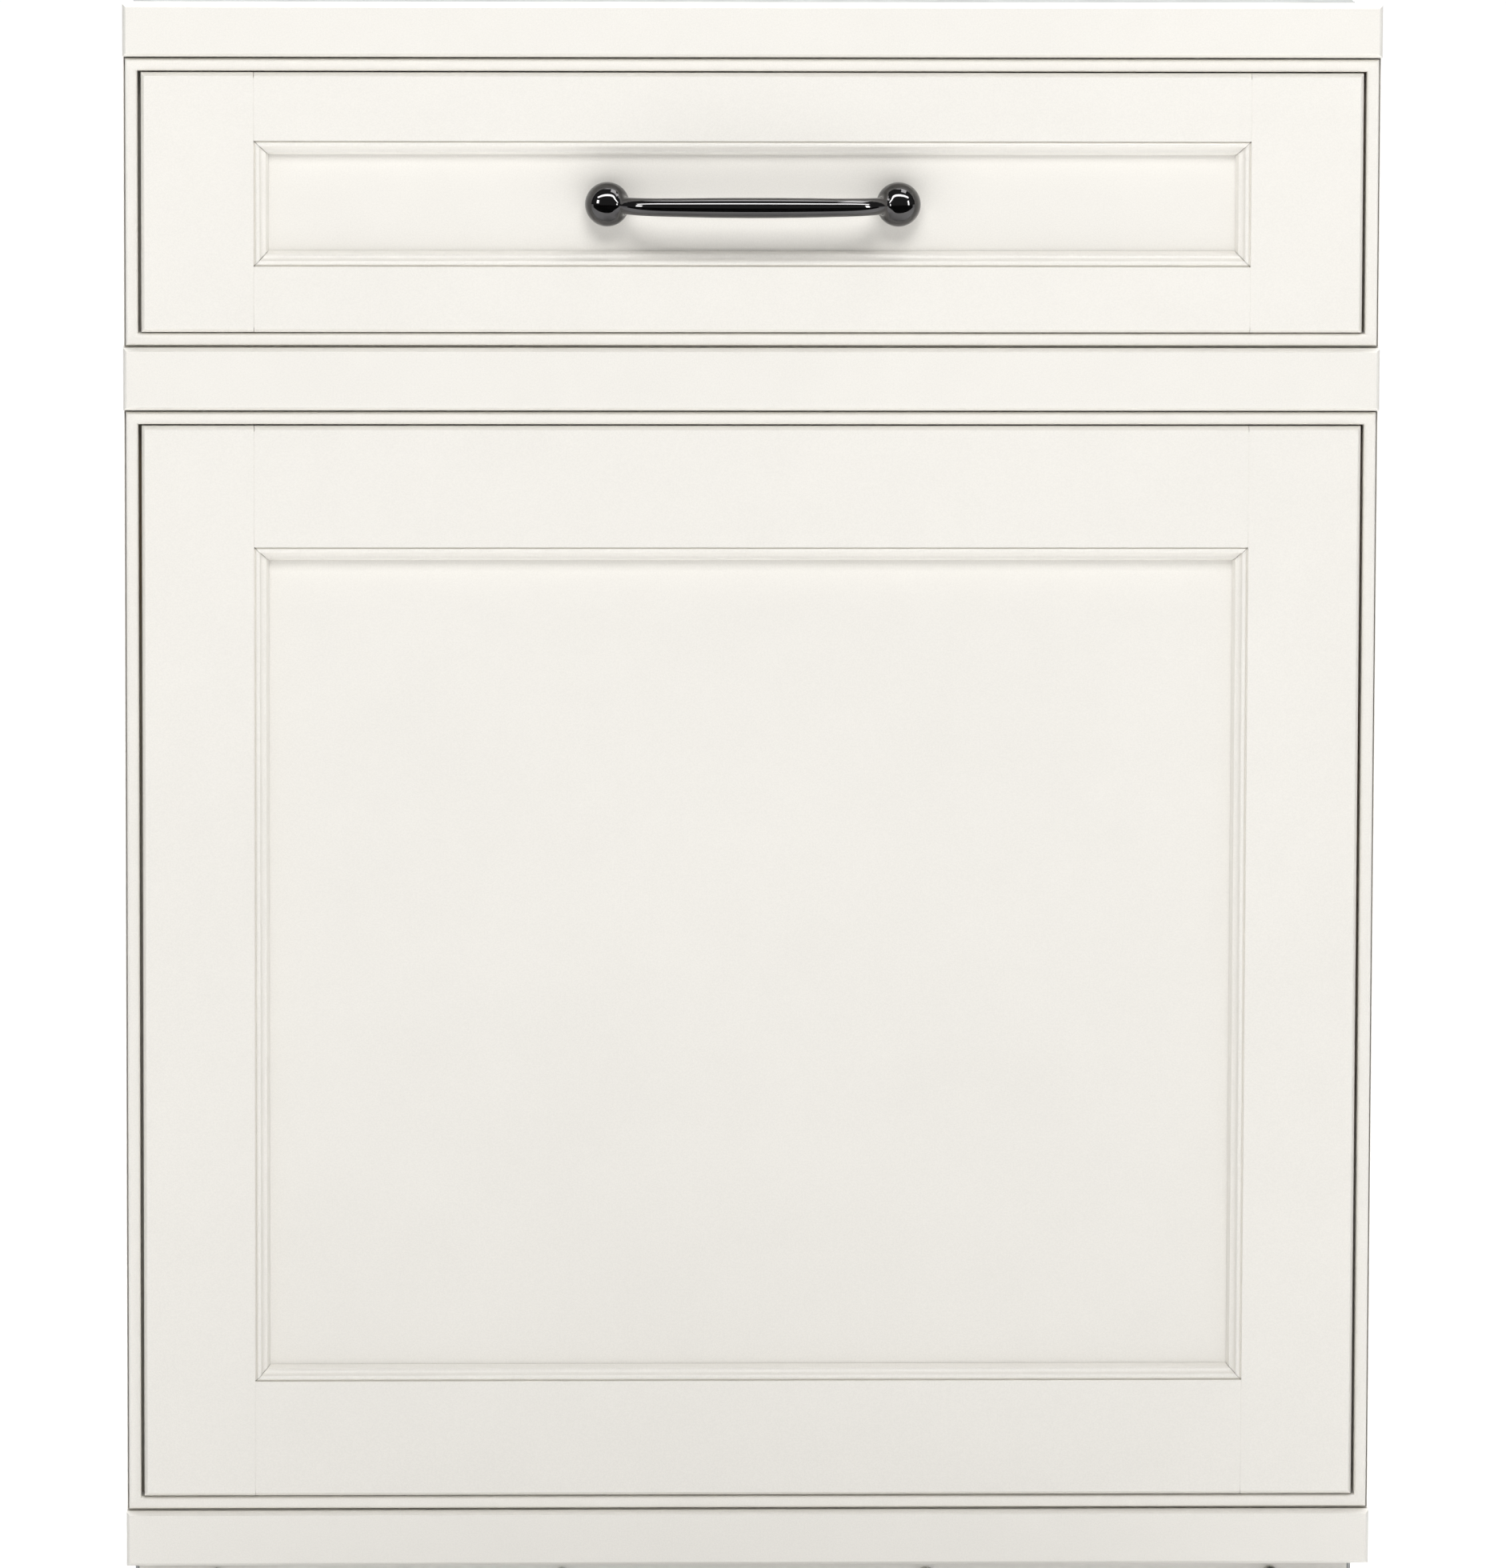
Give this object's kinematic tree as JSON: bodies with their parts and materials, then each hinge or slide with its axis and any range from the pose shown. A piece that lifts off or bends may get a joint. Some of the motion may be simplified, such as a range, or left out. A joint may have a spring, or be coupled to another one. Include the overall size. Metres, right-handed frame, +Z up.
{
  "type": "trash compactor",
  "caption": "Built-in undercounter trash compactor behind a painted cabinet face: pull-out drawer with refuse container, twin-screw ram drive and levelling feet.",
  "frame": {"origin": "on the floor, under the middle of the machine in width and depth", "axes": "+X to the viewer right, -Y the way the face looks and the drawer opens, +Z up"},
  "size_m": [0.606, 0.627, 0.8763],
  "materials": {
    "face_paint": "warm off-white sprayed satin enamel on wood",
    "backing_board": "sealed plywood with painted edges",
    "pull_metal": "polished black nickel",
    "zinc_fastener": "bright zinc plate",
    "enamelled_sheet": "light grey baked enamel",
    "galvanised_sheet": "galvanised, dull",
    "toe_kick_paint": "satin paint",
    "slide_zinc": "bright zinc plate",
    "console_plastic": "fine grain",
    "black_plastic": "smooth moulded",
    "button_green": "satin",
    "button_red": "satin",
    "key_metal": "satin chrome",
    "foot_metal": "dark zinc plate",
    "frame_paint": "dark grey paint",
    "ram_steel": "stainless sheet",
    "screw_steel": "greased rolled thread",
    "oiled_steel": "oiled",
    "bearing_bronze": "machined",
    "gearbox_cast": "as cast",
    "motor_paint": "semi-gloss black"
  },
  "bodies": {
    "cabinet": {"slide_cabinet_right": "slide_zinc", "slide_cabinet_left": "slide_zinc", "cabinet_side_right": "enamelled_sheet", "cabinet_side_left": "enamelled_sheet", "cabinet_back": "galvanised_sheet", "cabinet_top": "enamelled_sheet", "base_pan": "galvanised_sheet", "base_deck": "galvanised_sheet", "toe_kick": "toe_kick_paint", "cord_gland": "black_plastic", "drawer_switch": "black_plastic", "top_beam": "frame_paint", "thrust_bearing_left": "bearing_bronze", "thrust_bearing_right": "bearing_bronze", "drive_chain": "oiled_steel", "gearbox": "gearbox_cast", "drive_motor": "motor_paint"},
    "drawer": {"face_rail_top": "face_paint", "face_rail_middle": "face_paint", "face_rail_bottom": "face_paint", "bead_frame_upper": "face_paint", "bead_frame_lower": "face_paint", "drawer_front_stile_left": "face_paint", "drawer_front_stile_right": "face_paint", "drawer_front_rail_top": "face_paint", "drawer_front_rail_bottom": "face_paint", "drawer_front_panel": "face_paint", "door_front_stile_left": "face_paint", "door_front_stile_right": "face_paint", "door_front_rail_top": "face_paint", "door_front_rail_bottom": "face_paint", "door_front_panel": "face_paint", "pull_handle": "pull_metal", "pull_screw_left": "zinc_fastener", "pull_screw_right": "zinc_fastener", "backing_board": "backing_board", "drawer_inner_front": "enamelled_sheet", "drawer_carriage": "galvanised_sheet", "refuse_container": "enamelled_sheet", "control_console": "console_plastic", "slide_drawer_left": "slide_zinc", "slide_drawer_right": "slide_zinc"},
    "slide_middle_left": {"slide_middle_left": "slide_zinc"},
    "slide_middle_right": {"slide_middle_right": "slide_zinc"},
    "container_gate": {"container_gate": "enamelled_sheet"},
    "start_button": {"start_button": "button_green"},
    "stop_button": {"stop_button": "button_red"},
    "key_switch": {"key_switch": "key_metal"},
    "screw_left": {"power_screw_left": "screw_steel", "screw_sprocket_left": "oiled_steel"},
    "screw_right": {"power_screw_right": "screw_steel", "screw_sprocket_right": "oiled_steel"},
    "drive_sprocket": {"drive_sprocket": "oiled_steel"},
    "ram": {"ram_pan": "ram_steel", "ram_crosshead": "frame_paint"},
    "foot_front_left": {"foot_front_left": "foot_metal"},
    "foot_front_right": {"foot_front_right": "foot_metal"},
    "foot_rear_left": {"foot_rear_left": "foot_metal"},
    "foot_rear_right": {"foot_rear_right": "foot_metal"}
  },
  "joints": [
    {"name": "drawer_slide", "type": "slide", "parent": "cabinet", "child": "drawer", "axis": [0, -1, 0], "range_m": [0, 0.42]},
    {"name": "slide_middle_left", "type": "slide", "parent": "cabinet", "child": "slide_middle_left", "axis": [0, -1, 0], "range_m": [0, 0.21]},
    {"name": "slide_middle_right", "type": "slide", "parent": "cabinet", "child": "slide_middle_right", "axis": [0, -1, 0], "range_m": [0, 0.21]},
    {"name": "container_gate_tilt", "type": "hinge", "parent": "drawer", "child": "container_gate", "pos_m": [0.221, -0.02835, 0.1745], "axis": [0, 1, 0], "range_deg": [0, 6]},
    {"name": "start_button_press", "type": "slide", "parent": "drawer", "child": "start_button", "axis": [0, 0, -1], "range_m": [0, 0.002], "stiffness_N_per_m": 350},
    {"name": "stop_button_press", "type": "slide", "parent": "drawer", "child": "stop_button", "axis": [0, 0, -1], "range_m": [0, 0.002], "stiffness_N_per_m": 350},
    {"name": "key_switch_turn", "type": "hinge", "parent": "drawer", "child": "key_switch", "pos_m": [-0.07, -0.2344, 0.863], "axis": [0, 0, 1], "range_deg": [-90, 0]},
    {"name": "ram_travel", "type": "slide", "parent": "cabinet", "child": "ram", "axis": [0, 0, -1], "range_m": [0, 0.3]},
    {"name": "power_screw_left_turn", "type": "hinge", "parent": "cabinet", "child": "screw_left", "pos_m": [-0.264, -0.02835, 0.4], "axis": [0, 0, 1], "range_deg": [0, 10801]},
    {"name": "power_screw_right_turn", "type": "hinge", "parent": "cabinet", "child": "screw_right", "pos_m": [0.264, -0.02835, 0.4], "axis": [0, 0, 1], "range_deg": [0, 10801]},
    {"name": "drive_sprocket_turn", "type": "hinge", "parent": "cabinet", "child": "drive_sprocket", "pos_m": [0, 0.24, 0.08], "axis": [0, 0, 1], "range_deg": [0, 21601]},
    {"name": "foot_front_left_height", "type": "slide", "parent": "cabinet", "child": "foot_front_left", "axis": [0, 0, -1], "range_m": [0, 0.02]},
    {"name": "foot_front_right_height", "type": "slide", "parent": "cabinet", "child": "foot_front_right", "axis": [0, 0, -1], "range_m": [0, 0.02]},
    {"name": "foot_rear_left_height", "type": "slide", "parent": "cabinet", "child": "foot_rear_left", "axis": [0, 0, -1], "range_m": [0, 0.02]},
    {"name": "foot_rear_right_height", "type": "slide", "parent": "cabinet", "child": "foot_rear_right", "axis": [0, 0, -1], "range_m": [0, 0.02]}
  ],
  "couplings": [
    {"joint": "slide_middle_left", "follows": "drawer_slide", "ratio": 0.5},
    {"joint": "slide_middle_right", "follows": "drawer_slide", "ratio": 0.5},
    {"joint": "power_screw_left_turn", "follows": "ram_travel", "rad_per_m": 628.32},
    {"joint": "power_screw_right_turn", "follows": "ram_travel", "rad_per_m": 628.32},
    {"joint": "drive_sprocket_turn", "follows": "ram_travel", "rad_per_m": 1256.6}
  ]
}
